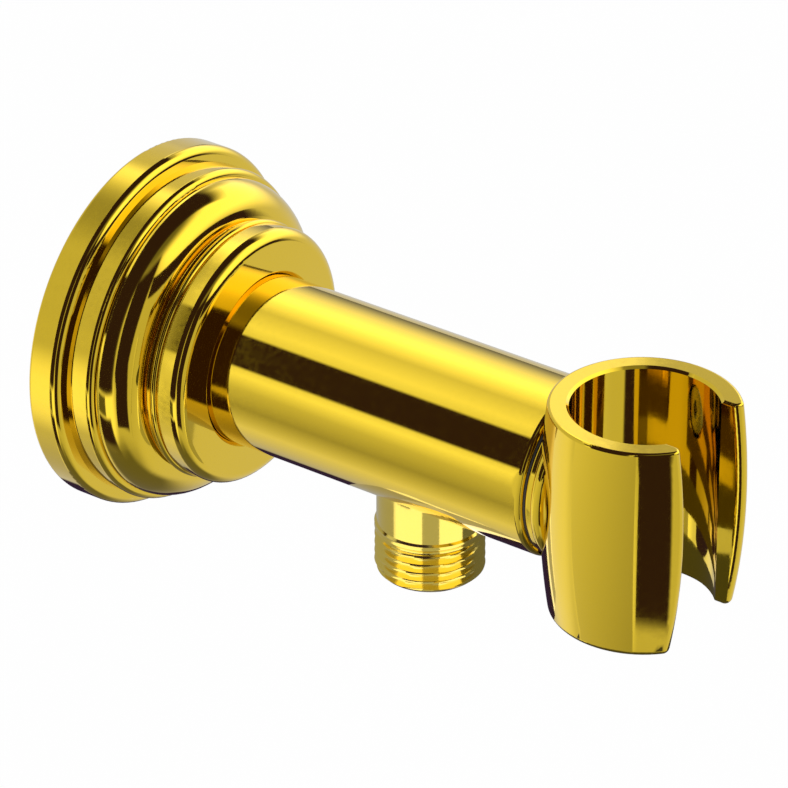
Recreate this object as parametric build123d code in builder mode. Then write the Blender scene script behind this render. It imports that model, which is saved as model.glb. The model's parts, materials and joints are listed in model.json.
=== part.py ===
from build123d import *
import os

os.makedirs("parts", exist_ok=True)

# Hand shower holder, millimetres. The wall is the plane x = 0, the arm runs along +X, up is +Z.

# Pipe thread of the wall inlet and of the hose nipple, drawn plain at its outer diameter
thread_d = 20.955
thread_chamfer = 1.0
thread_r = thread_d / 2

# Clearances shared by the fits
slide_clearance = 0.10
running_clearance = 0.06
seat_clearance = 0.05
seal_clearance = 0.02

# Wall flange: three tiers, each stepped in from the one behind it
flange_d = 71.5
base_tier_depth = 7.0
base_edge_r = 1.7
middle_step = 2.9
middle_tier_depth = 5.7
middle_edge_r = 1.25
ovolo_step = 1.35
ovolo_depth = 6.8
ovolo_drop = 5.8
ovolo_rise = 1.75
cove_step = 0.9
cove_width = 1.0
bead_width = 1.5
bead_rise = 0.75
bead_groove = 0.4
front_rise = 0.45
front_tier_depth = 5.6
front_edge_r = 2.3
front_dome = 0.4
flange_wall = 2.2
bore_chamfer = 0.6
hub_depth = 7.4
hub_share = 0.6
hollow_corner_share = 0.3

# Flange seals
flange_ring_setback = 3.8
flange_ring_width = 2.4
flange_ring_depth = 1.65
gasket_edge = 1.65
gasket_width = 2.6
gasket_depth = 1.5

# Arm
arm_d = 33.3
arm_start = 5.6
arm_end = 98.6
arm_edge_r = 1.2
socket_depth = 22.4
waterway_d = 20.0
waterway_end = 82.0
waterway_cone = 4.0
front_recess_wall = 3.95
front_recess_depth = 4.6

# Inlet connector
inlet_thread_length = 16.0
inlet_neck = 0.6
inlet_hex_margin = 0.2
inlet_hex_t = 4.4
spigot_d = 23.8
spigot_gap = 0.6
inlet_bore_d = 14.0
inlet_ring_depth = 1.55
inlet_ring_width = 2.3
inlet_ring_front_setback = 5.0
inlet_ring_pitch = 6.2
lock_groove_width = 6.0
lock_groove_depth = 0.9
lock_setback = 4.6
lock_screw_d = 5.0
lock_screw_key = 2.5
lock_screw_sink = 0.4

# Hose nipple
nipple_x = 67.0
nipple_drop = 15.15
hose_thread_length = 10.3
shank_step = 0.4
nipple_seat_depth = 4.6
nipple_wall_step = 1.5
nipple_spigot_length = 3.6
nipple_bore_d = 12.0
nipple_seal_t = 0.8
valve_bore_d = 15.1
valve_bore_depth = 11.8

# Check valve in the nipple
valve_sink = 0.9
valve_seat_t = 1.9
valve_seat_d = 8.0
valve_wall = 1.9
valve_ring_depth = 1.1
valve_ring_width = 1.6
valve_ring_setback = 3.6
cap_sink = 0.3
cap_t = 1.4
cap_rim = 0.7
cap_hub_d = 5.2
cap_spoke = 1.0
poppet_gap = 0.7
poppet_t = 1.0
poppet_nose_d = 5.0
poppet_nose_rise = 0.6
poppet_seal_t = 0.8
stem_d = 2.4
stem_rise = 0.7
spring_wire_d = 0.46
spring_mean_d = 4.2
spring_turns = 4.5

# Cup that holds the hand shower
cup_bore_d = 27.6
cup_back_wall = 1.5
cup_rim = 19.3
cup_bottom = -23.6
cup_rim_wall = 3.9
cup_middle_wall = 4.95
cup_middle_z = -3.0
cup_bottom_wall = 3.1
cup_slot = 18.2
cup_rim_r = 0.6
cup_base_r = 1.4
cup_slot_r = 1.4
cup_bore_chamfer = 0.5

# Neck and pivot of the cup
friction_washer_t = 0.4
friction_washer_step = 1.05
neck_step = 0.85
neck_edge_r = 0.5
neck_bead_setback = 1.3
neck_bead_width = 2.2
neck_bead_rise = 0.55
neck_groove_width = 0.8
neck_groove_depth = 0.6
neck_length = 10.0
seat_relief = 0.45
pivot_length = 4.4
pivot_web = 2.2
counterbore_gap = 0.5

# Screw and washers of the pivot
screw_d = 6.0
screw_length = 12.9
screw_hole_spare = 0.8
screw_head_d = 10.0
screw_head_t = 2.2
screw_key = 4.0
screw_key_depth = 1.3
thrust_washer_t = 0.5
spring_washer_t = 0.6
pivot_washer_gap = 0.3

# Flange sizes that follow
arm_r = arm_d / 2
flange_r = flange_d / 2
flange_bore_r = arm_r + slide_clearance
middle_r = flange_r - middle_step
middle_front = base_tier_depth + middle_tier_depth
ovolo_r = middle_r - ovolo_step
ovolo_front = middle_front + ovolo_depth
ovolo_end_r = ovolo_r - ovolo_drop
cove_r = ovolo_end_r - cove_step
bead_start = ovolo_front + cove_width
bead_end = bead_start + bead_width
front_r = cove_r + front_rise
flange_depth = bead_end + bead_groove + front_tier_depth
flange_ring_x = flange_depth - flange_ring_setback
gasket_outer_r = flange_r - gasket_edge
gasket_inner_r = gasket_outer_r - gasket_width

# Arm and inlet sizes that follow
front_recess_r = arm_r - front_recess_wall
front_recess_floor = arm_end - front_recess_depth
socket_r = spigot_d / 2 + running_clearance
socket_end = arm_start + socket_depth
inlet_hex = spigot_d + inlet_hex_margin
inlet_hex_end = inlet_neck + inlet_hex_t
spigot_end = socket_end - spigot_gap
inlet_ring_front_x = spigot_end - inlet_ring_front_setback
inlet_ring_rear_x = inlet_ring_front_x - inlet_ring_pitch
lock_x = arm_start + lock_setback

# Nipple and valve heights that follow
nipple_axis = Axis((nipple_x, 0, 0), (0, 0, 1))
nipple_bottom = -(arm_r + nipple_drop)
nipple_seat = -(arm_r - nipple_seat_depth)
nipple_shoulder = nipple_seat - nipple_seal_t
nipple_top = nipple_seat + nipple_spigot_length
nipple_shank_r = thread_r - shank_step
nipple_spigot_r = thread_r - nipple_wall_step
valve_bore_top = nipple_bottom + valve_bore_depth
valve_bottom = nipple_bottom + valve_sink
valve_r = valve_bore_d / 2 - seat_clearance
chamber_r = valve_r - valve_wall
seat_face = valve_bore_top - valve_seat_t
valve_ring_z = valve_bore_top - valve_ring_setback
cap_bottom = valve_bottom + cap_sink
cap_top = cap_bottom + cap_t
seal_top = seat_face - seal_clearance
disc_top = seal_top - poppet_seal_t
disc_bottom = disc_top - poppet_t
poppet_r = chamber_r - poppet_gap
stem_end = valve_bottom + stem_rise

# Cup and pivot sizes that follow
neck_face = arm_end + friction_washer_t
cup_bore_r = cup_bore_d / 2
cup_x = neck_face + cup_back_wall + cup_bore_r
cup_axis = Axis((cup_x, 0, 0), (0, 0, 1))
neck_r = arm_r - neck_step
neck_bead_start = neck_face + neck_bead_setback
neck_bead_end = neck_bead_start + neck_bead_width
neck_groove_end = neck_bead_end + neck_groove_width
pivot_start = neck_face - pivot_length
counterbore_floor = pivot_start + pivot_web
counterbore_r = screw_head_d / 2 + counterbore_gap
screw_head_back = counterbore_floor + thrust_washer_t + spring_washer_t
screw_end = screw_head_back - screw_length


def outline(plane, points, radii=0):
    """Closed profile of straight lines whose corners carry the given radii."""
    with BuildSketch(plane) as face:
        with BuildLine():
            FilletPolyline(*points, radius=radii, close=True)
        make_face()
    return face.sketch


def round_section(plane, centre, radius):
    """Round section of a sealing ring."""
    with BuildSketch(plane) as face:
        with Locations(centre):
            Circle(radius)
    return face.sketch


def about_nipple(points):
    """Points given as radius and height, placed beside the nipple's axis."""
    return [(nipple_x + r, z) for r, z in points]


# Wall flange: outer moulding, then the hollow, the bore, the seal grooves
with BuildPart() as wall_flange:
    with BuildSketch(Plane.XY):
        with BuildLine():
            base = FilletPolyline(
                (0, flange_bore_r),
                (0, flange_r),
                (base_tier_depth - 0.3, flange_r),
                (base_tier_depth, middle_r),
                (middle_front, middle_r),
                (middle_front, ovolo_r),
                radius=[0.7, base_edge_r, 0, middle_edge_r],
            )
            ovolo_start = (middle_front, ovolo_r)
            ovolo_finish = (ovolo_front, ovolo_end_r)
            ovolo = SagittaArc(ovolo_start, ovolo_finish, ovolo_rise)
            cove = FilletPolyline(
                ovolo_finish,
                (ovolo_front + 0.2, cove_r),
                (bead_start, cove_r),
                radius=[0.15],
            )
            bead = SagittaArc((bead_start, cove_r), (bead_end, cove_r), bead_rise)
            front = FilletPolyline(
                (bead_end, cove_r),
                (bead_end + bead_groove, cove_r),
                (bead_end + bead_groove, front_r),
                (flange_depth - front_dome, front_r),
                (flange_depth, flange_bore_r + bore_chamfer),
                (flange_depth - bore_chamfer, flange_bore_r),
                (0, flange_bore_r),
                radius=[0, 0.3, front_edge_r, 0.2, 0],
            )
        make_face()
    revolve(axis=Axis.X)
    base_hollow_r = middle_r - flange_wall
    front_hollow_r = front_r - flange_wall
    front_hollow_end = flange_depth - flange_wall
    hub_r = flange_bore_r + hub_share * (front_hollow_r - flange_bore_r)
    hub_start = flange_depth - hub_depth
    corner_r = hollow_corner_share * (front_hollow_r - hub_r)
    hollow = outline(
        Plane.XY,
        [
            (0, 0),
            (0, base_hollow_r),
            (middle_front - flange_wall, base_hollow_r),
            (ovolo_front - flange_wall, front_hollow_r),
            (front_hollow_end, front_hollow_r),
            (front_hollow_end, hub_r),
            (hub_start, hub_r),
            (hub_start, 0),
        ],
        [0, 0, 2.0, 2.0, corner_r, corner_r, 0.4, 0],
    )
    revolve(hollow, axis=Axis.X, mode=Mode.SUBTRACT)
    with BuildSketch(Plane.XY):
        with Locations((flange_ring_x, flange_bore_r)):
            Rectangle(flange_ring_width, 2 * (flange_ring_depth - slide_clearance))
    revolve(axis=Axis.X, mode=Mode.SUBTRACT)
    with BuildSketch(Plane.YZ):
        Circle(gasket_outer_r)
        Circle(gasket_inner_r, mode=Mode.SUBTRACT)
    extrude(amount=gasket_depth, mode=Mode.SUBTRACT)
wall_flange.part.label = "wall_flange"
export_step(wall_flange.part, "parts/wall_flange.step")

# Ring that grips the arm inside the flange
with BuildPart() as flange_o_ring:
    flange_ring_r = flange_ring_depth / 2
    section = round_section(Plane.XY, (flange_ring_x, arm_r + flange_ring_r), flange_ring_r - seal_clearance)
    revolve(section, axis=Axis.X)
flange_o_ring.part.label = "flange_o_ring"
export_step(flange_o_ring.part, "parts/flange_o_ring.step")

# Flat rubber ring, flush with the back of the flange
with BuildPart() as flange_gasket:
    with BuildSketch(Plane.YZ):
        Circle(gasket_outer_r - seat_clearance)
        Circle(gasket_inner_r + seat_clearance, mode=Mode.SUBTRACT)
    extrude(amount=gasket_depth - seal_clearance)
flange_gasket.part.label = "flange_gasket"
export_step(flange_gasket.part, "parts/flange_gasket.step")

# Inlet connector: wall thread, hexagon, spigot with ring grooves and the lock groove
with BuildPart() as inlet_connector:
    spigot_r = spigot_d / 2
    groove_r = socket_r - inlet_ring_depth
    lock_r = spigot_r - lock_groove_depth
    rear = inlet_ring_rear_x
    fore = inlet_ring_front_x
    half = inlet_ring_width / 2
    body = outline(
        Plane.XY,
        [
            (-inlet_thread_length, inlet_bore_d / 2),
            (-inlet_thread_length, thread_r - thread_chamfer),
            (-inlet_thread_length + thread_chamfer, thread_r),
            (inlet_neck, thread_r),
            (inlet_hex_end, spigot_r),
            (lock_x - lock_groove_width / 2, spigot_r),
            (lock_x - lock_groove_width / 2 + lock_groove_depth, lock_r),
            (lock_x + lock_groove_width / 2 - lock_groove_depth, lock_r),
            (lock_x + lock_groove_width / 2, spigot_r),
            (rear - half, spigot_r),
            (rear - half, groove_r),
            (rear + half, groove_r),
            (rear + half, spigot_r),
            (fore - half, spigot_r),
            (fore - half, groove_r),
            (fore + half, groove_r),
            (fore + half, spigot_r),
            (spigot_end - 0.9, spigot_r),
            (spigot_end, spigot_r - 0.6),
            (spigot_end, inlet_bore_d / 2),
        ],
    )
    revolve(body, axis=Axis.X)
    with BuildSketch(Plane.YZ.offset(inlet_neck)):
        RegularPolygon(inlet_hex / 2, 6, major_radius=False)
        Circle(inlet_bore_d / 2, mode=Mode.SUBTRACT)
    extrude(amount=inlet_hex_end - inlet_neck)
inlet_connector.part.label = "inlet_connector"
export_step(inlet_connector.part, "parts/inlet_connector.step")

# Two rings that seal the arm on the spigot
inlet_ring_r = inlet_ring_depth / 2
with BuildPart() as inlet_o_ring_rear:
    centre = (inlet_ring_rear_x, socket_r - inlet_ring_r)
    revolve(round_section(Plane.XY, centre, inlet_ring_r - seal_clearance), axis=Axis.X)
inlet_o_ring_rear.part.label = "inlet_o_ring_rear"
export_step(inlet_o_ring_rear.part, "parts/inlet_o_ring_rear.step")

with BuildPart() as inlet_o_ring_front:
    centre = (inlet_ring_front_x, socket_r - inlet_ring_r)
    revolve(round_section(Plane.XY, centre, inlet_ring_r - seal_clearance), axis=Axis.X)
inlet_o_ring_front.part.label = "inlet_o_ring_front"
export_step(inlet_o_ring_front.part, "parts/inlet_o_ring_front.step")

# Arm: turned bar with socket, waterway, front recess and cross holes
with BuildPart() as arm_body:
    tap_r = screw_d / 2 + seal_clearance
    screw_hole_end = screw_end - screw_hole_spare
    bar = outline(
        Plane.XY,
        [
            (arm_start, socket_r),
            (arm_start, arm_r),
            (arm_end, arm_r),
            (arm_end, front_recess_r),
            (front_recess_floor, front_recess_r),
            (front_recess_floor, tap_r),
            (screw_hole_end, tap_r),
            (screw_hole_end, 0),
            (waterway_end, 0),
            (waterway_end - waterway_cone, waterway_d / 2),
            (socket_end, waterway_d / 2),
            (socket_end, socket_r),
        ],
        [0, 0.8, arm_edge_r, 0.3, 0, 0, 0, 0, 0, 0, 0, 0],
    )
    revolve(bar, axis=Axis.X)
    with BuildSketch(Plane.XY.offset(nipple_seat)):
        with Locations((nipple_x, 0)):
            Circle(nipple_shank_r + seat_clearance)
    extrude(amount=-arm_d, mode=Mode.SUBTRACT)
    with BuildSketch(Plane.XY):
        with Locations((nipple_x, 0)):
            Circle(nipple_spigot_r + seat_clearance)
    extrude(amount=-arm_d, mode=Mode.SUBTRACT)
    with BuildSketch(Plane.XY):
        with Locations((lock_x, 0)):
            Circle(lock_screw_d / 2 + seal_clearance)
    extrude(amount=-arm_d, mode=Mode.SUBTRACT)
arm_body.part.label = "arm_body"
export_step(arm_body.part, "parts/arm_body.step")

# Headless screw that holds the arm on the connector
with BuildPart() as lock_screw:
    lock_outer_z = -arm_r + lock_screw_sink
    lock_tip_z = -(spigot_d / 2 - lock_groove_depth + seat_clearance)
    pin = outline(
        Plane.XZ,
        [
            (lock_x, lock_outer_z),
            (lock_x + lock_screw_d / 2, lock_outer_z),
            (lock_x + lock_screw_d / 2, lock_tip_z - 0.9),
            (lock_x + lock_screw_d / 2 - 0.9, lock_tip_z),
            (lock_x, lock_tip_z),
        ],
    )
    revolve(pin, axis=Axis((lock_x, 0, 0), (0, 0, 1)))
    with BuildSketch(Plane.XY.offset(lock_outer_z)):
        with Locations((lock_x, 0)):
            RegularPolygon(lock_screw_key / 2, 6, major_radius=False)
    extrude(amount=2.2, mode=Mode.SUBTRACT)
lock_screw.part.label = "lock_screw"
export_step(lock_screw.part, "parts/lock_screw.step")

# Hose nipple: thread outside, waterway and valve bore inside
with BuildPart() as hose_nipple:
    shell = outline(
        Plane.XZ,
        about_nipple(
            [
                (valve_bore_d / 2 + 0.4, nipple_bottom),
                (thread_r - thread_chamfer, nipple_bottom),
                (thread_r, nipple_bottom + thread_chamfer),
                (thread_r, nipple_bottom + hose_thread_length),
                (nipple_shank_r, nipple_bottom + hose_thread_length),
                (nipple_shank_r, nipple_shoulder),
                (nipple_spigot_r, nipple_shoulder),
                (nipple_spigot_r, nipple_top),
                (nipple_bore_d / 2, nipple_top),
                (nipple_bore_d / 2, valve_bore_top),
                (valve_bore_d / 2, valve_bore_top),
                (valve_bore_d / 2, nipple_bottom + 0.4),
            ]
        ),
    )
    revolve(shell, axis=nipple_axis)
hose_nipple.part.label = "hose_nipple"
export_step(hose_nipple.part, "parts/hose_nipple.step")

# Flat seal between the nipple's shoulder and the arm
with BuildPart() as nipple_seal:
    with BuildSketch(Plane.XY.offset(nipple_shoulder)):
        with Locations((nipple_x, 0)):
            Circle(nipple_shank_r - seat_clearance)
            Circle(nipple_spigot_r + seat_clearance, mode=Mode.SUBTRACT)
    extrude(amount=nipple_seal_t)
nipple_seal.part.label = "nipple_seal"
export_step(nipple_seal.part, "parts/nipple_seal.step")

# Check valve body with its seat at the top and a ring groove outside
with BuildPart() as check_valve_body:
    ring_root_r = valve_bore_d / 2 - valve_ring_depth
    shell = outline(
        Plane.XZ,
        about_nipple(
            [
                (chamber_r, valve_bottom),
                (valve_r, valve_bottom),
                (valve_r, valve_ring_z - valve_ring_width / 2),
                (ring_root_r, valve_ring_z - valve_ring_width / 2),
                (ring_root_r, valve_ring_z + valve_ring_width / 2),
                (valve_r, valve_ring_z + valve_ring_width / 2),
                (valve_r, valve_bore_top),
                (valve_seat_d / 2, valve_bore_top),
                (valve_seat_d / 2, seat_face),
                (chamber_r, seat_face),
            ]
        ),
    )
    revolve(shell, axis=nipple_axis)
check_valve_body.part.label = "check_valve_body"
export_step(check_valve_body.part, "parts/check_valve_body.step")

# Ring that seals the valve in the nipple
with BuildPart() as check_valve_o_ring:
    valve_ring_r = valve_ring_depth / 2
    centre = (nipple_x + valve_bore_d / 2 - valve_ring_r, valve_ring_z)
    revolve(round_section(Plane.XZ, centre, valve_ring_r - seal_clearance), axis=nipple_axis)
check_valve_o_ring.part.label = "check_valve_o_ring"
export_step(check_valve_o_ring.part, "parts/check_valve_o_ring.step")

# Guide for the stem: rim, hub and three spokes
with BuildPart() as check_valve_cap:
    cap_r = chamber_r - seat_clearance
    with BuildSketch(Plane.XY.offset(cap_bottom)):
        with Locations((nipple_x, 0)):
            Circle(cap_r)
            Circle(cap_r - cap_rim, mode=Mode.SUBTRACT)
            Circle(cap_hub_d / 2)
        spoke_length = cap_r - cap_rim / 2
        with Locations((nipple_x, 0)):
            with PolarLocations(spoke_length / 2, 3):
                Rectangle(spoke_length, cap_spoke)
        with Locations((nipple_x, 0)):
            Circle(stem_d / 2 + slide_clearance, mode=Mode.SUBTRACT)
    extrude(amount=cap_t)
check_valve_cap.part.label = "check_valve_cap"
export_step(check_valve_cap.part, "parts/check_valve_cap.step")

# Poppet: nose, disc and stem
with BuildPart() as check_valve_poppet:
    body = outline(
        Plane.XZ,
        about_nipple(
            [
                (0, seal_top + poppet_nose_rise),
                (poppet_nose_d / 2, seal_top + poppet_nose_rise),
                (poppet_nose_d / 2, disc_top),
                (poppet_r, disc_top),
                (poppet_r, disc_bottom),
                (stem_d / 2, disc_bottom),
                (stem_d / 2, stem_end),
                (0, stem_end),
            ]
        ),
        [0, 0.5, 0, 0.3, 0.3, 0, 0.3, 0],
    )
    revolve(body, axis=nipple_axis)
check_valve_poppet.part.label = "check_valve_poppet"
export_step(check_valve_poppet.part, "parts/check_valve_poppet.step")

# Rubber ring on the poppet
with BuildPart() as check_valve_seal:
    with BuildSketch(Plane.XY.offset(disc_top)):
        with Locations((nipple_x, 0)):
            Circle(poppet_r - slide_clearance)
            Circle(poppet_nose_d / 2 + seal_clearance, mode=Mode.SUBTRACT)
    extrude(amount=poppet_seal_t)
check_valve_seal.part.label = "check_valve_seal"
export_step(check_valve_seal.part, "parts/check_valve_seal.step")

# Wire spring between the poppet and its guide
with BuildPart() as check_valve_spring:
    spring_low = cap_top + spring_wire_d / 2
    spring_height = disc_bottom - spring_wire_d / 2 - spring_low
    with BuildLine() as coil:
        Helix(
            pitch=spring_height / spring_turns,
            height=spring_height,
            radius=spring_mean_d / 2,
            center=(nipple_x, 0, spring_low),
        )
    with BuildSketch(Plane(origin=coil.line @ 0, z_dir=coil.line % 0)):
        Circle(spring_wire_d / 2 - seal_clearance)
    sweep(path=coil.line, is_frenet=True)
check_valve_spring.part.label = "check_valve_spring"
export_step(check_valve_spring.part, "parts/check_valve_spring.step")

# Thin washer between the arm's end and the neck of the cup
with BuildPart() as friction_washer:
    with BuildSketch(Plane.YZ.offset(arm_end)):
        Circle(arm_r - friction_washer_step)
        Circle(front_recess_r + slide_clearance, mode=Mode.SUBTRACT)
    extrude(amount=friction_washer_t)
friction_washer.part.label = "friction_washer"
export_step(friction_washer.part, "parts/friction_washer.step")

# Cup: barrel, slot and rounded edges, then the neck with its bead and the pivot
with BuildPart() as holder_cup:
    with BuildSketch(Plane.XZ):
        with BuildLine():
            top = (cup_x + cup_bore_r + cup_rim_wall, cup_rim)
            middle = (cup_x + cup_bore_r + cup_middle_wall, cup_middle_z)
            low = (cup_x + cup_bore_r + cup_bottom_wall, cup_bottom)
            ThreePointArc(top, middle, low)
            Polyline(
                low,
                (cup_x + cup_bore_r + cup_bore_chamfer, cup_bottom),
                (cup_x + cup_bore_r, cup_bottom + cup_bore_chamfer),
                (cup_x + cup_bore_r, cup_rim - cup_bore_chamfer),
                (cup_x + cup_bore_r + cup_bore_chamfer, cup_rim),
                top,
            )
        make_face()
    revolve(axis=cup_axis)
    with BuildSketch(Plane.XY.offset(cup_bottom)):
        with Locations((cup_x, 0)):
            Rectangle(2 * cup_bore_d, cup_slot, align=(Align.MIN, Align.CENTER))
    extrude(amount=cup_rim - cup_bottom, mode=Mode.SUBTRACT)
    slot_edges = [
        e
        for e in holder_cup.edges().filter_by(GeomType.LINE, reverse=True)
        if abs(abs(e.center().Y) - cup_slot / 2) < 0.01 and e.length > 0.9 * (cup_rim - cup_bottom)
    ]
    fillet(slot_edges, cup_slot_r)
    for height, radius in ((cup_rim, cup_rim_r), (cup_bottom, cup_base_r)):
        outer_edges = [
            e
            for e in holder_cup.edges().filter_by(GeomType.CIRCLE)
            if abs(e.center().Z - height) < 0.01 and e.radius > cup_bore_r + 1
        ]
        fillet(outer_edges, radius)
    with BuildSketch(Plane.YZ.offset(neck_face)):
        Circle(arm_r + seat_relief)
    extrude(amount=-cup_bore_d, mode=Mode.SUBTRACT)
    groove_r = neck_r - neck_groove_depth
    neck_end = neck_face + neck_length
    with BuildSketch(Plane.XY):
        with BuildLine():
            FilletPolyline(
                (neck_end, 0),
                (neck_face, 0),
                (neck_face, neck_r),
                (neck_bead_start, neck_r),
                radius=[0, neck_edge_r],
            )
            SagittaArc(
                (neck_bead_start, neck_r),
                (neck_bead_end, neck_r),
                neck_bead_rise,
            )
            FilletPolyline(
                (neck_bead_end, neck_r),
                (neck_bead_end + 0.2, groove_r),
                (neck_groove_end, groove_r),
                (neck_groove_end + 0.2, neck_r - 0.3),
                (neck_end, neck_r - 0.3),
                (neck_end, 0),
                radius=[0, 0, 0, 0],
            )
        make_face()
    revolve(axis=Axis.X)
    with BuildSketch(Plane.YZ.offset(pivot_start)):
        Circle(front_recess_r - running_clearance)
    extrude(amount=neck_face - pivot_start)
    with BuildSketch(Plane.XY.offset(cup_bottom)):
        with Locations((cup_x, 0)):
            Circle(cup_bore_r)
    extrude(amount=cup_rim - cup_bottom, mode=Mode.SUBTRACT)
    with BuildSketch(Plane.YZ.offset(counterbore_floor)):
        Circle(counterbore_r)
    extrude(amount=cup_bore_r, mode=Mode.SUBTRACT)
    with BuildSketch(Plane.YZ.offset(pivot_start)):
        Circle(screw_d / 2 + running_clearance)
    extrude(amount=cup_bore_r, mode=Mode.SUBTRACT)
holder_cup.part.label = "holder_cup"
export_step(holder_cup.part, "parts/holder_cup.step")

# Slippery washer, then a spring washer, under the head of the pivot screw
with BuildPart() as thrust_washer:
    with BuildSketch(Plane.YZ.offset(counterbore_floor)):
        Circle(counterbore_r - pivot_washer_gap)
        Circle(screw_d / 2 + slide_clearance, mode=Mode.SUBTRACT)
    extrude(amount=thrust_washer_t)
thrust_washer.part.label = "thrust_washer"
export_step(thrust_washer.part, "parts/thrust_washer.step")

with BuildPart() as spring_washer:
    with BuildSketch(Plane.YZ.offset(counterbore_floor + thrust_washer_t)):
        Circle(screw_head_d / 2)
        Circle(screw_d / 2 + slide_clearance, mode=Mode.SUBTRACT)
    extrude(amount=spring_washer_t)
spring_washer.part.label = "spring_washer"
export_step(spring_washer.part, "parts/spring_washer.step")

# Low head screw that the cup turns on
with BuildPart() as holder_screw:
    head_face = screw_head_back + screw_head_t
    body = outline(
        Plane.XY,
        [
            (screw_end, 0),
            (screw_end, screw_d / 2 - 0.6),
            (screw_end + 0.6, screw_d / 2),
            (screw_head_back, screw_d / 2),
            (screw_head_back, screw_head_d / 2),
            (head_face, screw_head_d / 2),
            (head_face, 0),
        ],
        [0, 0, 0, 0, 0.15, 0.5, 0],
    )
    revolve(body, axis=Axis.X)
    with BuildSketch(Plane.YZ.offset(head_face)):
        RegularPolygon(screw_key / 2, 6, major_radius=False)
    extrude(amount=-screw_key_depth, mode=Mode.SUBTRACT)
holder_screw.part.label = "holder_screw"
export_step(holder_screw.part, "parts/holder_screw.step")
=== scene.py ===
import json
import math

import bpy
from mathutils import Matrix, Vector


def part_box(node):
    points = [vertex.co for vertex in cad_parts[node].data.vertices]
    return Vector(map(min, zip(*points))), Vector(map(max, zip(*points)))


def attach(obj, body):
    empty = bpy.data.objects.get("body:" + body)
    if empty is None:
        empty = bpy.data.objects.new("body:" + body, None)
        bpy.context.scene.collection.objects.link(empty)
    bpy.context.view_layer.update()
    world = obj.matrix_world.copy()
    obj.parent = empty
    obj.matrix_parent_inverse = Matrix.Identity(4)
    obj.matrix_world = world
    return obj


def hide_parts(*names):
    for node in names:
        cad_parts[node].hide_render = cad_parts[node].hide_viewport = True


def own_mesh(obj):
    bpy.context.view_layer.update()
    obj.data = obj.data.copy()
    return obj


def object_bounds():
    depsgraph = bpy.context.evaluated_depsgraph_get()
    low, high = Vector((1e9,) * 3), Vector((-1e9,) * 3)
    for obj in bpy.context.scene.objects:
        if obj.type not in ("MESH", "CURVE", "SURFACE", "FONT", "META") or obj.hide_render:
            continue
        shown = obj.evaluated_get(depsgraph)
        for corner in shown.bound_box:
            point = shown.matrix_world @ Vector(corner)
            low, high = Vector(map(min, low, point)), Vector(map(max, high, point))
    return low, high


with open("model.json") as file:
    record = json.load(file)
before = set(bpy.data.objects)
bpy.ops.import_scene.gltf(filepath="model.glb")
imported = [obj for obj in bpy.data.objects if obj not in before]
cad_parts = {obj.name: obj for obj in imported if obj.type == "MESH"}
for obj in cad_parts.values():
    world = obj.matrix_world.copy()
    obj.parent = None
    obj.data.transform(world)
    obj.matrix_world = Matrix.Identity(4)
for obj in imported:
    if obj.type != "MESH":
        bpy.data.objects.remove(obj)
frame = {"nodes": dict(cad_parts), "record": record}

cad_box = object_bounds()
nodes = frame["nodes"]
MM = 0.001

# Camera, metres and degrees
CAMERA_AZIMUTH = 35.86
CAMERA_ELEVATION = 29.98
CAMERA_DISTANCE = 1.0
CAMERA_TARGET = Vector((0.05866, 0.0, 0.00269))
SENSOR_WIDTH = 36.0
LENS = 245.6

# Stage, metres
FLOOR_DROP = 2.80
FLOOR_HALF = 14.0
TENT_RADIUS = 2.5
CARD_DISTANCE = 2.25
FLANGE_CENTRE = Vector((0.010, 0.0, 0.0))
NIPPLE_CENTRE = Vector((0.067, 0.0, -0.022))
CUP_CENTRE = Vector((0.1143, 0.0, 0.0))

# Floor: share of plain white in what is seen of it, roughness, noise in cycles a metre
FLOOR_WHITE = 0.85
FLOOR_ROUGHNESS = 0.9
FLOOR_SCALE = 3.0

# Round pieces: steps round, degrees above which an edge stays sharp, steepness of a thread's flanks
ROUND_STEPS = 144
SMOOTH_ANGLE = 40
SPRING_SMOOTH_ANGLE = 50
FLANK_STEEPNESS = 2.6

# Pipe thread, millimetres
THREAD_R = 10.4775
THREAD_PITCH = 1.814
THREAD_DEPTH = 1.162
THREAD_CHAMFER = 1.0
THREAD_RUN_OUT = 2.2
THREAD_MARGIN = 0.01

# Hose nipple, millimetres
NIPPLE_X = 67.0
NIPPLE_BOTTOM = -31.8
NIPPLE_SHOULDER = -12.85
NIPPLE_TOP = -8.45
NIPPLE_RELIEF = 0.4
NIPPLE_SHANK_R = THREAD_R - NIPPLE_RELIEF
NIPPLE_EDGE = 0.2
NIPPLE_SPIGOT_R = 8.9775
NIPPLE_BORE_R = 6.0
VALVE_BORE_R = 7.55
VALVE_BORE_TOP = -20.0
MOUTH_CHAMFER = 0.4
HOSE_THREAD_LENGTH = 10.3

# Inlet connector, millimetres
INLET_START = -16.0
INLET_NECK = 0.6
INLET_BORE_R = 7.0
STUB_OVERLAP = 1.0
HEX_HALF = 12.0
HEX_END = 5.0
HEX_CHAMFER = 0.9
HEX_BACK_STEP = 0.3
HEX_FRONT_STEP = 0.1
SPIGOT_R = 11.9
SPIGOT_END = 27.4
SPIGOT_OVERLAP = 0.5
SPIGOT_LEAD = 0.9
SPIGOT_LEAD_STEP = 0.6
LOCK_GROOVE = (7.2, 13.2, 0.9)
RING_GROOVES = (16.2, 22.4)
RING_GROOVE_HALF = 1.15
RING_GROOVE_R = 10.41

# Valve spring, millimetres and turns
SPRING_R = 2.1
SPRING_WIRE_R = 0.21
SPRING_TURNS = 4.5

# Finishes: weight of the clear lacquer, noise in cycles a metre, and the part of its range in use
LACQUER = 0.4
METAL_TINT_SCALE = 45.0
METAL_GLOSS_SCALE = 900.0
PLASTIC_TINT_SCALE = 140.0
NOISE_RANGE = (0.3, 0.7)

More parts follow.
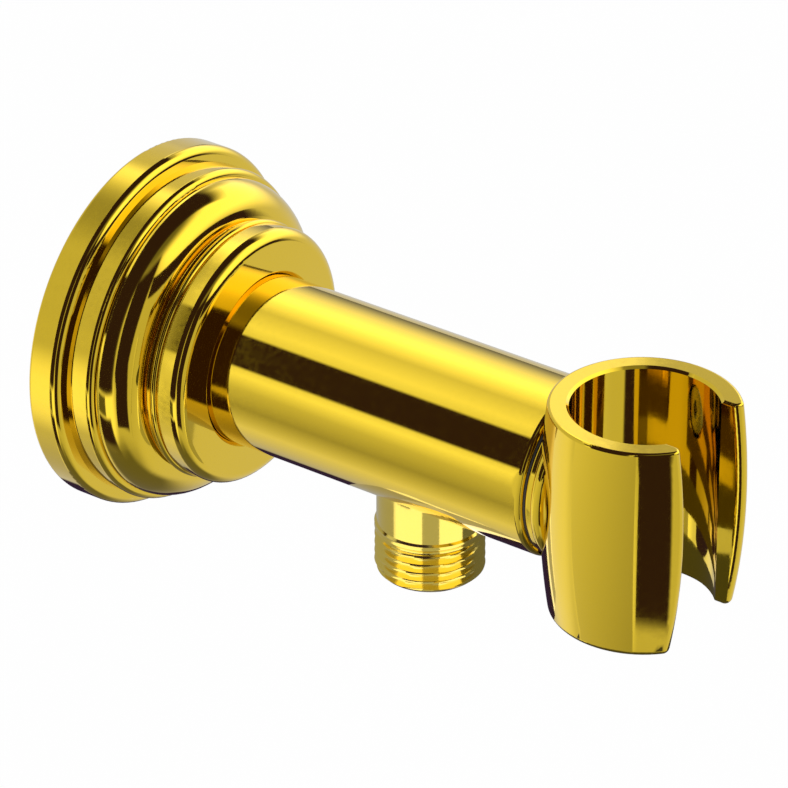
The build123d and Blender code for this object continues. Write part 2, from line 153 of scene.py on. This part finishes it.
# Colours, linear
GOLD = (0.89, 0.63, 0.030)
GOLD_DEEP = (0.86, 0.60, 0.022)
# Paler gold of the hose nipple: painted highlight, a lighter copy of the same gold that stands in for the
# brighter light the nipple catches
PALE_GOLD = (0.95, 0.74, 0.15)
PALE_GOLD_DEEP = (0.92, 0.70, 0.11)
BRASS = (0.62, 0.44, 0.16)
BRASS_DEEP = (0.55, 0.37, 0.12)
STEEL = (0.58, 0.58, 0.60)
STEEL_DEEP = (0.46, 0.46, 0.48)
RUBBER = (0.022, 0.022, 0.022)
RUBBER_DEEP = (0.012, 0.012, 0.012)
DARK_NYLON = (0.035, 0.028, 0.022)
DARK_NYLON_DEEP = (0.02, 0.016, 0.012)
GREY_NYLON = (0.36, 0.36, 0.34)
GREY_NYLON_DEEP = (0.29, 0.29, 0.28)
WHITE = (0.80, 0.80, 0.77)
WHITE_DEEP = (0.70, 0.70, 0.67)
FLOOR_TINTS = ((0.95, 0.95, 0.95), (0.97, 0.97, 0.97))
DARK_FELT = (0.030, 0.016, 0.050)

# Soft areas of the tent: azimuth, elevation, radius fully lit, radius where it ends, level
TENT_LEVEL = 0.63
TENT_AREAS = [
    (0, -90, 18, 45, 0.36),
    (142, -30, 25, 50, 0.71),
    (-12, -31, 22, 38, 1.30),
    (165, 48, 34, 58, 1.65),
    (-160, 50, 14, 30, 1.55),
    (-144, 28, 8, 20, 0.68),
    (-80, -25, 14, 30, 0.95),
    (118, 40, 14, 36, 1.55),
    (15, 50, 12, 35, 0.66),
    (0, 90, 22, 46, 0.16),
    (80, -5, 10, 28, 0.60),
]

# Screen that lights the arm: radius and span in metres, lean, and its tone by degrees from the front up
ARM_SCREEN_RADIUS = 2.0
ARM_SCREEN_SPAN = (-0.080, 0.225)
ARM_SCREEN_LEAN = 0.588
ARM_SCREEN_STOPS = [
    (-125, 0.14),
    (-104, 0.54),
    (-70, 0.85),
    (-38, 0.385),
    (-12, 0.675),
    (6, 1.20),
    (13, 1.03),
    (16.5, DARK_FELT),
    (55, DARK_FELT),
    (58.5, 0.97),
    (71, 1.16),
    (96, 0.82),
    (126, 1.80),
    (148, 1.15),
    (166, 0.50),
    (180, 0.13),
]

# Cards round the flange: lean, turn, tone, fade, steps
FLANGE_HOOPS = {
    "flange_hoop": ((25.5, -20.0), (-25.0, 150.0), DARK_FELT, (0.0, 0.1, 0.03, 0.1), (12, 120)),
    "flange_hoop_front": ((25.0, 4.0), (-40.0, -22.0), 0.12, (0.0, 0.1, 0.2, 0.2), (12, 20)),
    "flange_hoop_under": ((25.0, -8.0), (-76.0, -37.0), DARK_FELT, (0.0, 0.1, 0.5, 0.12), (12, 40)),
    "flange_hoop_low": ((26.0, -30.0), (-128.0, -54.0), 0.15, (0.1, 0.2, 0.3, 0.3), (30, 60)),
}

# Dark cards: azimuth and elevation of the low left, low right, high right and high left corners, fade
DARK_CARDS = {
    "card_front_right_low": (((29, -46), (72, -46), (66, -20), (29, -20)), (0, 0.1, 0.14, 0)),
    "card_front_right": (((29, -20), (66, -20), (62, -8), (22, -8)), (0, 0.1, 0, 0)),
    "card_front_right_high": (((22, -8), (62, -8), (84, 60), (26, 60)), (0, 0.1, 0, 0.15)),
    "card_right_strip": (((74, 20), (150, -22), (150, -6), (74, 38)), (0, 0.1, 0.1, 0.1)),
    "card_back_left": (((-158, -60), (-118, -60), (-118, -20), (-158, -20)), (0.1, 0.1, 0.1, 0.4)),
}

# Strips that show in the hose nipple, the last one a dark back towards the cup: radius, azimuths, tone
NIPPLE_STRIP_HEIGHTS = (-0.018, 0.0045)
NIPPLE_STRIPS = {
    "nipple_left": (0.016, (-105, -24), 0.40),
    "nipple_front": (0.016, (-20, 23), 1.35),
    "nipple_middle": (0.016, (24, 48), 0.46),
    "nipple_right": (0.016, (49, 87), 1.35),
    "nipple_far_right": (0.016, (88, 170), 0.15),
    "nipple_right_back": (0.0175, (60, 130), DARK_FELT),
}

# Cards beside and under the cup, metres and degrees
CUP_CARD_RADIUS = 0.050
CUP_CARD_AZIMUTHS = (-38, 25.5)
CUP_CARD_HEIGHTS = (-0.080, 0.012)
CUP_CARD_TONES = [0.54, 0.38, 0.50, 0.80]
CUP_FLOOR_RADIUS = 0.022
CUP_FLOOR_HEIGHT = -0.034
CUP_FLOOR_LEVEL = 0.07


def direction(azimuth, elevation):
    """Unit vector from the object: azimuth 0 points to -Y and 90 to +X, in degrees."""
    a = math.radians(azimuth)
    e = math.radians(elevation)
    return Vector((math.sin(a) * math.cos(e), -math.cos(a) * math.cos(e), math.sin(e)))


def link(obj):
    bpy.context.scene.collection.objects.link(obj)
    return obj


def mesh_object(name, vertices, faces, smooth_angle=None):
    mesh = bpy.data.meshes.new(name)
    mesh.from_pydata(vertices, [], faces)
    if smooth_angle is not None:
        for polygon in mesh.polygons:
            polygon.use_smooth = True
        mesh.set_sharp_from_angle(angle=math.radians(smooth_angle))
    mesh.update()
    return link(bpy.data.objects.new(name, mesh))


# Materials


def new_material(name):
    material = bpy.data.materials.new(name)
    material.use_nodes = True
    tree = material.node_tree
    return material, tree, tree.nodes["Principled BSDF"]


def noise(tree, scale, detail=3.0):
    """Noise in object space, in cycles a metre."""
    place = tree.nodes.new("ShaderNodeTexCoord")
    cloud = tree.nodes.new("ShaderNodeTexNoise")
    cloud.inputs["Scale"].default_value = scale
    cloud.inputs["Detail"].default_value = detail
    tree.links.new(place.outputs["Object"], cloud.inputs["Vector"])
    return cloud.outputs["Fac"]


def spread(tree, value, low, high):
    """Noise within its range in use, spread over low to high."""
    node = tree.nodes.new("ShaderNodeMapRange")
    node.inputs["From Min"].default_value = NOISE_RANGE[0]
    node.inputs["From Max"].default_value = NOISE_RANGE[1]
    node.inputs["To Min"].default_value = low
    node.inputs["To Max"].default_value = high
    tree.links.new(value, node.inputs["Value"])
    return node.outputs["Result"]


def two_tone(tree, value, dark, light):
    node = tree.nodes.new("ShaderNodeMix")
    node.data_type = "RGBA"
    node.inputs[6].default_value = (*dark, 1.0)
    node.inputs[7].default_value = (*light, 1.0)
    tree.links.new(value, node.inputs[0])
    return node.outputs[2]


def bump(tree, shader, value, depth):
    node = tree.nodes.new("ShaderNodeBump")
    node.inputs["Strength"].default_value = 1.0
    node.inputs["Distance"].default_value = depth
    tree.links.new(value, node.inputs["Height"])
    tree.links.new(node.outputs["Normal"], shader.inputs["Normal"])


def metal(name, light, deep, gloss, wave=None, lacquer=0.0):
    """Polished metal whose colour, gloss and surface waver a little, as buffing leaves them.
    wave is the scale and depth of the surface's waver, and lacquer the weight of a clear coat."""
    material, tree, shader = new_material(name)
    shader.inputs["Metallic"].default_value = 1.0
    shader.inputs["Coat Weight"].default_value = lacquer
    tint = noise(tree, METAL_TINT_SCALE, detail=4.0)
    tree.links.new(two_tone(tree, tint, deep, light), shader.inputs["Base Color"])
    fine = noise(tree, METAL_GLOSS_SCALE, detail=2.0)
    tree.links.new(spread(tree, fine, gloss[0], gloss[1]), shader.inputs["Roughness"])
    if wave:
        scale, depth = wave
        bump(tree, shader, noise(tree, scale, detail=1.0), depth)
    return material


def moulded(name, colour, deep, gloss, grain, depth):
    """Moulded plastic or rubber with a fine grain of a given depth in metres."""
    material, tree, shader = new_material(name)
    cloud = noise(tree, PLASTIC_TINT_SCALE)
    tree.links.new(two_tone(tree, cloud, deep, colour), shader.inputs["Base Color"])
    tree.links.new(spread(tree, cloud, gloss[0], gloss[1]), shader.inputs["Roughness"])
    bump(tree, shader, noise(tree, grain, detail=2.0), depth)
    return material


def radiance(tone):
    """Colour of a light or card: a plain white level, or a colour of its own."""
    return (*tone, 1.0) if isinstance(tone, tuple) else (tone, tone, tone, 1.0)


def glow_material(name):
    material = bpy.data.materials.new(name)
    material.use_nodes = True
    tree = material.node_tree
    tree.nodes.clear()
    glow = tree.nodes.new("ShaderNodeEmission")
    out = tree.nodes.new("ShaderNodeOutputMaterial")
    tree.links.new(glow.outputs["Emission"], out.inputs["Surface"])
    return material, tree, glow


gold = metal("polished_gold", GOLD, GOLD_DEEP, gloss=(0.04, 0.08), wave=(70.0, 0.00001), lacquer=LACQUER)
# Nipple gold: its paler colour is a painted highlight standing in for brighter light; its rougher gloss
# is the thread's own
pale_gold = metal(
    "threaded_gold_painted_highlight",
    PALE_GOLD,
    PALE_GOLD_DEEP,
    gloss=(0.10, 0.16),
    wave=(300.0, 0.000004),
    lacquer=LACQUER,
)
brass = metal("turned_brass", BRASS, BRASS_DEEP, gloss=(0.16, 0.30), wave=(500.0, 0.000006))
steel = metal("bright_steel", STEEL, STEEL_DEEP, gloss=(0.18, 0.30))
rubber = moulded("black_rubber", RUBBER, RUBBER_DEEP, gloss=(0.45, 0.65), grain=1800.0, depth=0.00001)
dark_nylon = moulded(
    "dark_nylon", DARK_NYLON, DARK_NYLON_DEEP, gloss=(0.35, 0.5), grain=1500.0, depth=0.000006
)
grey_nylon = moulded(
    "grey_nylon", GREY_NYLON, GREY_NYLON_DEEP, gloss=(0.4, 0.55), grain=1500.0, depth=0.000008
)
white_plastic = moulded(
    "white_plastic", WHITE, WHITE_DEEP, gloss=(0.32, 0.45), grain=1200.0, depth=0.000006
)
FINISHES = {
    "polished_gold": gold,
    "plain_brass": brass,
    "black_rubber": rubber,
    "dark_nylon": dark_nylon,
    "grey_nylon": grey_nylon,
    "white_plastic": white_plastic,
    "steel": steel,
}
for part in frame["record"]["subparts"]:
    node = nodes[part["node"]]
    node.data.materials.clear()
    node.data.materials.append(FINISHES[part["material_slot"]])
    for polygon in node.data.polygons:
        polygon.use_smooth = True


# Pieces with cut threads


def thread_height(turn):
    """Share of the thread's depth at a point of its pitch: rounded crest and root, straight flanks."""
    t = abs((turn % 1.0) - 0.5) * 2.0
    return 0.5 + 0.5 * math.tanh(FLANK_STEEPNESS * (t - 0.5)) / math.tanh(FLANK_STEEPNESS / 2)


def turned(loop, place, cut=None, steps=ROUND_STEPS):
    """Closed body of revolution from a closed loop of (radius, height) points.
    cut gives the radius taken off at a height and a turn, and place puts a point in the frame."""
    vertices = []
    for k in range(steps):
        turn = k / steps
        angle = 2.0 * math.pi * turn
        for radius, height in loop:
            r = radius - (cut(radius, height, turn) if cut else 0.0)
            vertices.append(place(r * math.cos(angle), r * math.sin(angle), height))
    count = len(loop)
    faces = []
    for k in range(steps):
        a = k * count
        b = ((k + 1) % steps) * count
        for i in range(count):
            j = (i + 1) % count
            faces.append((a + i, a + j, b + j, b + i))
    return vertices, faces


def threaded_run(start, end, samples=10):
    """Heights along a threaded stretch, close enough to show each turn's shape."""
    count = int(abs(end - start) / THREAD_PITCH * samples)
    return [start + (end - start) * i / count for i in range(count + 1)]


def thread_cut(tip, run_out, end):
    """Depth cut by the thread: from the tip's chamfer to where it runs out into the plain shank."""

    def cut(radius, height, turn):
        along = abs(height - tip)
        reach = abs(end - tip)
        if along > reach or radius < THREAD_R - THREAD_CHAMFER - THREAD_MARGIN:
            return 0.0
        crest = min(THREAD_R, THREAD_R - THREAD_CHAMFER + along)
        fade = min(1.0, max(0.0, (reach - along) / run_out))
        root = THREAD_R - THREAD_DEPTH * fade * thread_height(along / THREAD_PITCH - turn)
        return radius - min(crest, root, radius)

    return cut


def join(shells):
    vertices = []
    faces = []
    for some_vertices, some_faces in shells:
        base = len(vertices)
        vertices += some_vertices
        faces += [tuple(base + i for i in face) for face in some_faces]
    return vertices, faces


def on_nipple(a, b, height):
    return ((NIPPLE_X + a) * MM, b * MM, height * MM)


def on_arm_axis(a, b, height):
    return (height * MM, a * MM, b * MM)


thread_end = NIPPLE_BOTTOM + HOSE_THREAD_LENGTH
nipple_loop = [(VALVE_BORE_R + MOUTH_CHAMFER, NIPPLE_BOTTOM), (THREAD_R - THREAD_CHAMFER, NIPPLE_BOTTOM)]
nipple_loop += [(THREAD_R, z) for z in threaded_run(NIPPLE_BOTTOM, thread_end)[1:]]
nipple_loop += [
    (NIPPLE_SHANK_R, thread_end + NIPPLE_RELIEF),
    (NIPPLE_SHANK_R, NIPPLE_SHOULDER - NIPPLE_EDGE),
    (NIPPLE_SHANK_R - NIPPLE_EDGE, NIPPLE_SHOULDER),
    (NIPPLE_SPIGOT_R, NIPPLE_SHOULDER),
    (NIPPLE_SPIGOT_R, NIPPLE_TOP),
    (NIPPLE_BORE_R, NIPPLE_TOP),
    (NIPPLE_BORE_R, VALVE_BORE_TOP),
    (VALVE_BORE_R, VALVE_BORE_TOP),
    (VALVE_BORE_R, NIPPLE_BOTTOM + MOUTH_CHAMFER),
]
shell = turned(nipple_loop, on_nipple, thread_cut(NIPPLE_BOTTOM, THREAD_RUN_OUT, thread_end))
nipple = mesh_object("hose_nipple_threaded", *shell, smooth_angle=SMOOTH_ANGLE)
nipple.data.materials.append(pale_gold)
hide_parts("hose_nipple")
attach(nipple, "fixed")

stub_loop = [(INLET_BORE_R, INLET_START), (THREAD_R - THREAD_CHAMFER, INLET_START)]
stub_loop += [(THREAD_R, x) for x in threaded_run(INLET_START, INLET_NECK)[1:]]
stub_loop += [(THREAD_R, INLET_NECK + STUB_OVERLAP), (INLET_BORE_R, INLET_NECK + STUB_OVERLAP)]
stub = turned(stub_loop, on_arm_axis, thread_cut(INLET_START, THREAD_RUN_OUT, INLET_NECK))


def hexagon(radius, height, turn):
    """Trims a round bar to six flats."""
    off_flat = (turn * 360.0 + 30.0) % 60.0 - 30.0
    return max(0.0, radius - HEX_HALF / math.cos(math.radians(off_flat)))


corner_r = HEX_HALF / math.cos(math.radians(30.0))
hex_loop = [
    (INLET_BORE_R, INLET_NECK),
    (HEX_HALF - HEX_BACK_STEP, INLET_NECK),
    (corner_r, INLET_NECK + HEX_CHAMFER),
    (corner_r, HEX_END - HEX_CHAMFER),
    (HEX_HALF - HEX_FRONT_STEP, HEX_END),
    (INLET_BORE_R, HEX_END),
]
nut = turned(hex_loop, on_arm_axis, hexagon)
spigot_loop = [(INLET_BORE_R, HEX_END - SPIGOT_OVERLAP), (SPIGOT_R, HEX_END - SPIGOT_OVERLAP)]
lock_start, lock_end, lock_depth = LOCK_GROOVE
spigot_loop += [
    (SPIGOT_R, lock_start),
    (SPIGOT_R - lock_depth, lock_start + lock_depth),
    (SPIGOT_R - lock_depth, lock_end - lock_depth),
    (SPIGOT_R, lock_end),
]
for x in RING_GROOVES:
    spigot_loop += [
        (SPIGOT_R, x - RING_GROOVE_HALF),
        (RING_GROOVE_R, x - RING_GROOVE_HALF),
        (RING_GROOVE_R, x + RING_GROOVE_HALF),
        (SPIGOT_R, x + RING_GROOVE_HALF),
    ]
spigot_loop += [
    (SPIGOT_R, SPIGOT_END - SPIGOT_LEAD),
    (SPIGOT_R - SPIGOT_LEAD_STEP, SPIGOT_END),
    (INLET_BORE_R, SPIGOT_END),
]
spigot = turned(spigot_loop, on_arm_axis)
connector = mesh_object("inlet_connector_threaded", *join([stub, nut, spigot]), smooth_angle=SMOOTH_ANGLE)
connector.data.materials.append(brass)
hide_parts("inlet_connector")
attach(connector, "fixed")


# Valve spring, a coil built at one length, though the real one shortens as the valve opens


def coil(low, high, steps=28, sides=12):
    """Round wire wound from one end to the other, with both ends closed."""
    count = int(SPRING_TURNS * steps)
    rise = (high - low) / count
    slope = math.atan2(rise * steps, 2.0 * math.pi * SPRING_R)
    vertices = []
    for k in range(count + 1):
        turn = 2.0 * math.pi * k / steps
        for side in range(sides):
            around = 2.0 * math.pi * side / sides
            out = SPRING_R + SPRING_WIRE_R * math.cos(around)
            up = SPRING_WIRE_R * math.sin(around)
            drift = up * math.sin(slope)
            a = out * math.cos(turn) + drift * math.sin(turn)
            b = out * math.sin(turn) - drift * math.cos(turn)
            vertices.append(on_nipple(a, b, low + rise * k + up * math.cos(slope)))
    faces = [tuple(range(sides))[::-1], tuple(range(count * sides, (count + 1) * sides))]
    for k in range(count):
        for side in range(sides):
            a = k * sides + side
            b = k * sides + (side + 1) % sides
            faces.append((a, b, b + sides, a + sides))
    return vertices, faces


spring_low, spring_high = [corner[2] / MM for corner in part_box("check_valve_spring")]
spring_shell = coil(spring_low + SPRING_WIRE_R, spring_high - SPRING_WIRE_R)
spring = mesh_object("check_valve_spring_coil", *spring_shell, smooth_angle=SPRING_SMOOTH_ANGLE)
spring.data.materials.append(steel)
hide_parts("check_valve_spring")
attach(spring, "fixed")
on_nipple(0.0, 0.0, spring_low)
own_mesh(spring)


# Stage: pale floor, even world, and a tent and cards that only show in polished surfaces


def reflected_only(obj):
    obj.visible_camera = False
    obj.visible_diffuse = False
    obj.visible_shadow = False


def part_way(ends, share):
    """Number a share of the way from the first end to the second."""
    return ends[0] * (1 - share) + ends[1] * share


def within(corners, u, v):
    """Numbers at a place between those of the low left, low right, high right and high left corners."""
    low_left, low_right, high_right, high_left = corners
    low = [part_way(pair, u) for pair in zip(low_left, low_right)]
    high = [part_way(pair, u) for pair in zip(high_left, high_right)]
    return [part_way(pair, v) for pair in zip(low, high)]


def card(name, at, tones=DARK_FELT, fade=(0.0, 0.0, 0.0, 0.0), steps=(40, 40)):
    """Curved card whose points come from at(u, v), with u from left to right and v from low to high.
    tones is one tone, or a list with those of the low left, low right, high right and high left corners,
    and fade is the share of the card over which the left, right, low and high edges thin out."""
    corners = [radiance(tone) for tone in (tones if isinstance(tones, list) else [tones] * 4)]

    def cover(u, v):
        shares = ((u, fade[0]), (1.0 - u, fade[1]), (v, fade[2]), (1.0 - v, fade[3]))
        value = 1.0
        for share, width in shares:
            if width:
                t = min(1.0, share / width)
                value *= t * t * (3.0 - 2.0 * t)
        return value

    vertices = []
    covers = []
    paints = []
    for i in range(steps[1] + 1):
        for j in range(steps[0] + 1):
            u = j / steps[0]
            v = i / steps[1]
            vertices.append(at(u, v))
            covers.append(cover(u, v))
            paints += within(corners, u, v)
    row = steps[0] + 1
    faces = []
    for i in range(steps[1]):
        for j in range(steps[0]):
            k = i * row + j
            faces.append((k, k + 1, k + row + 1, k + row))
    obj = mesh_object(name, vertices, faces)
    layer = obj.data.attributes.new("cover", "FLOAT", "POINT")
    layer.data.foreach_set("value", covers)
    layer = obj.data.attributes.new("paint", "FLOAT_COLOR", "POINT")
    layer.data.foreach_set("color", paints)
    material, tree, glow = glow_material(name)
    paint = tree.nodes.new("ShaderNodeAttribute")
    paint.attribute_name = "paint"
    tree.links.new(paint.outputs["Color"], glow.inputs["Color"])
    read = tree.nodes.new("ShaderNodeAttribute")
    read.attribute_name = "cover"
    clear = tree.nodes.new("ShaderNodeBsdfTransparent")
    blend = tree.nodes.new("ShaderNodeMixShader")
    tree.links.new(read.outputs["Fac"], blend.inputs[0])
    tree.links.new(clear.outputs["BSDF"], blend.inputs[1])
    tree.links.new(glow.outputs["Emission"], blend.inputs[2])
    tree.links.new(blend.outputs["Shader"], tree.nodes["Material Output"].inputs["Surface"])
    obj.data.materials.append(material)
    reflected_only(obj)


def between(*corners):
    """Card placed by four corners given as (azimuth, elevation) about the camera's target."""

    def at(u, v):
        azimuth, elevation = within(corners, u, v)
        return CAMERA_TARGET + direction(azimuth, elevation) * CARD_DISTANCE

    return at


def beside(centre, radius, azimuths, heights):
    """Upright card curved about a piece's own upright axis, in metres and degrees."""

    def at(u, v):
        a = math.radians(part_way(azimuths, u))
        return centre + Vector((math.sin(a) * radius, -math.cos(a) * radius, part_way(heights, v)))

    return at


def under(centre, radius, height):
    """Level round card below a piece."""

    def at(u, v):
        a = 2.0 * math.pi * u
        return centre + Vector((math.sin(a) * radius * v, -math.cos(a) * radius * v, height))

    return at


def around_arm(lean, turn):
    """Card round the arm's axis, by its lean to the wall and its turn from the front up, in degrees."""

    def at(u, v):
        w = math.radians(part_way(lean, u))
        b = math.radians(part_way(turn, v))
        aim = Vector((-math.sin(w), -math.cos(w) * math.cos(b), math.cos(w) * math.sin(b)))
        return FLANGE_CENTRE + aim * CARD_DISTANCE

    return at


def studio_tent():
    """Sphere round the stage whose glow is a plain level with soft lighter and darker areas."""
    bpy.ops.mesh.primitive_uv_sphere_add(
        segments=48, ring_count=24, radius=TENT_RADIUS, location=CAMERA_TARGET
    )
    obj = bpy.context.object
    obj.name = "studio_tent"
    material, tree, glow = glow_material("studio_tent")
    place = tree.nodes.new("ShaderNodeTexCoord")
    unit = tree.nodes.new("ShaderNodeVectorMath")
    unit.operation = "NORMALIZE"
    tree.links.new(place.outputs["Object"], unit.inputs[0])
    colour = None
    for azimuth, elevation, inner, outer, level in TENT_AREAS:
        facing = tree.nodes.new("ShaderNodeVectorMath")
        facing.operation = "DOT_PRODUCT"
        facing.inputs[1].default_value = direction(azimuth, elevation)
        tree.links.new(unit.outputs["Vector"], facing.inputs[0])
        share = tree.nodes.new("ShaderNodeMapRange")
        share.interpolation_type = "SMOOTHSTEP"
        share.inputs["From Min"].default_value = math.cos(math.radians(outer))
        share.inputs["From Max"].default_value = math.cos(math.radians(inner))
        tree.links.new(facing.outputs["Value"], share.inputs["Value"])
        mix = tree.nodes.new("ShaderNodeMix")
        mix.data_type = "RGBA"
        mix.inputs[7].default_value = radiance(level)
        if colour is None:
            mix.inputs[6].default_value = radiance(TENT_LEVEL)
        else:
            tree.links.new(colour, mix.inputs[6])
        tree.links.new(share.outputs["Result"], mix.inputs[0])
        colour = mix.outputs[2]
    tree.links.new(colour, glow.inputs["Color"])
    obj.data.materials.append(material)
    reflected_only(obj)


def arm_screen(steps=96):
    """Curved screen that shows in the arm's side alone, with a light level at each angle round it."""
    low = ARM_SCREEN_STOPS[0][0]
    high = ARM_SCREEN_STOPS[-1][0]
    shift = ARM_SCREEN_LEAN * ARM_SCREEN_RADIUS
    vertices = []
    for k in range(steps + 1):
        b = math.radians(low + (high - low) * k / steps)
        y = -ARM_SCREEN_RADIUS * math.cos(b)
        z = ARM_SCREEN_RADIUS * math.sin(b)
        vertices += [(x - shift, y, z) for x in ARM_SCREEN_SPAN]
    faces = [(2 * k, 2 * k + 1, 2 * k + 3, 2 * k + 2) for k in range(steps)]
    obj = mesh_object("arm_screen", vertices, faces)
    material, tree, glow = glow_material("arm_screen")
    place = tree.nodes.new("ShaderNodeTexCoord")
    split = tree.nodes.new("ShaderNodeSeparateXYZ")
    tree.links.new(place.outputs["Object"], split.inputs["Vector"])
    front = tree.nodes.new("ShaderNodeMath")
    front.operation = "MULTIPLY"
    front.inputs[1].default_value = -1.0
    tree.links.new(split.outputs["Y"], front.inputs[0])
    angle = tree.nodes.new("ShaderNodeMath")
    angle.operation = "ARCTAN2"
    tree.links.new(split.outputs["Z"], angle.inputs[0])
    tree.links.new(front.outputs["Value"], angle.inputs[1])
    share = tree.nodes.new("ShaderNodeMapRange")
    share.inputs["From Min"].default_value = math.radians(low)
    share.inputs["From Max"].default_value = math.radians(high)
    tree.links.new(angle.outputs["Value"], share.inputs["Value"])
    ramp = tree.nodes.new("ShaderNodeValToRGB")
    marks = ramp.color_ramp.elements
    while len(marks) < len(ARM_SCREEN_STOPS):
        marks.new(0.5)
    for mark, (degrees, tone) in zip(marks, ARM_SCREEN_STOPS):
        mark.position = (degrees - low) / (high - low)
        mark.color = radiance(tone)
    tree.links.new(share.outputs["Result"], ramp.inputs["Fac"])
    tree.links.new(ramp.outputs["Color"], glow.inputs["Color"])
    obj.data.materials.append(material)
    reflected_only(obj)


studio_tent()
arm_screen()
for name, (lean, turn, tone, fade, steps) in FLANGE_HOOPS.items():
    card(name, around_arm(lean, turn), tone, fade, steps)
for name, (corners, fade) in DARK_CARDS.items():
    card(name, between(*corners), fade=fade)
for name, (radius, azimuths, tone) in NIPPLE_STRIPS.items():
    card(name, beside(NIPPLE_CENTRE, radius, azimuths, NIPPLE_STRIP_HEIGHTS), tone, steps=(12, 1))
card("cup_card", beside(CUP_CENTRE, CUP_CARD_RADIUS, CUP_CARD_AZIMUTHS, CUP_CARD_HEIGHTS), CUP_CARD_TONES)
card("cup_floor", under(CUP_CENTRE, CUP_FLOOR_RADIUS, CUP_FLOOR_HEIGHT), CUP_FLOOR_LEVEL, steps=(24, 6))

floor_z = cad_box[0][2] - FLOOR_DROP
corners = ((-1, -1), (1, -1), (1, 1), (-1, 1))
floor_points = [(FLOOR_HALF * x, FLOOR_HALF * y, floor_z) for x, y in corners]
floor = mesh_object("floor", floor_points, [(0, 1, 2, 3)])
floor_material, floor_tree, floor_shader = new_material("pale_floor")
floor_shader.inputs["Roughness"].default_value = FLOOR_ROUGHNESS
floor_tint = two_tone(floor_tree, noise(floor_tree, FLOOR_SCALE), *FLOOR_TINTS)
floor_tree.links.new(floor_tint, floor_shader.inputs["Base Color"])
paper = floor_tree.nodes.new("ShaderNodeEmission")
paper.inputs["Strength"].default_value = 1.0
ray = floor_tree.nodes.new("ShaderNodeLightPath")
seen = ray.outputs["Is Camera Ray"]
for kind in ("Is Glossy Ray", "Is Transmission Ray"):
    either = floor_tree.nodes.new("ShaderNodeMath")
    either.operation = "MAXIMUM"
    floor_tree.links.new(seen, either.inputs[0])
    floor_tree.links.new(ray.outputs[kind], either.inputs[1])
    seen = either.outputs["Value"]
weight = floor_tree.nodes.new("ShaderNodeMath")
weight.operation = "MULTIPLY"
weight.inputs[1].default_value = FLOOR_WHITE
floor_tree.links.new(seen, weight.inputs[0])
white = floor_tree.nodes.new("ShaderNodeMixShader")
floor_tree.links.new(weight.outputs["Value"], white.inputs[0])
floor_tree.links.new(floor_shader.outputs["BSDF"], white.inputs[1])
floor_tree.links.new(paper.outputs["Emission"], white.inputs[2])
floor_tree.links.new(white.outputs["Shader"], floor_tree.nodes["Material Output"].inputs["Surface"])
floor.data.materials.append(floor_material)

world = bpy.data.worlds.new("studio")
bpy.context.scene.world = world
world.use_nodes = True
world.node_tree.nodes["Background"].inputs["Color"].default_value = (1.0, 1.0, 1.0, 1.0)
world.node_tree.nodes["Background"].inputs["Strength"].default_value = 1.0

# Camera
camera_data = bpy.data.cameras.new("camera")
camera_data.sensor_width = SENSOR_WIDTH
camera_data.lens = LENS
camera = link(bpy.data.objects.new("camera", camera_data))
back = direction(CAMERA_AZIMUTH, CAMERA_ELEVATION)
camera.location = CAMERA_TARGET + back * CAMERA_DISTANCE
camera.rotation_euler = back.to_track_quat("Z", "Y").to_euler()
bpy.context.scene.camera = camera
bpy.context.scene.view_settings.view_transform = "Standard"
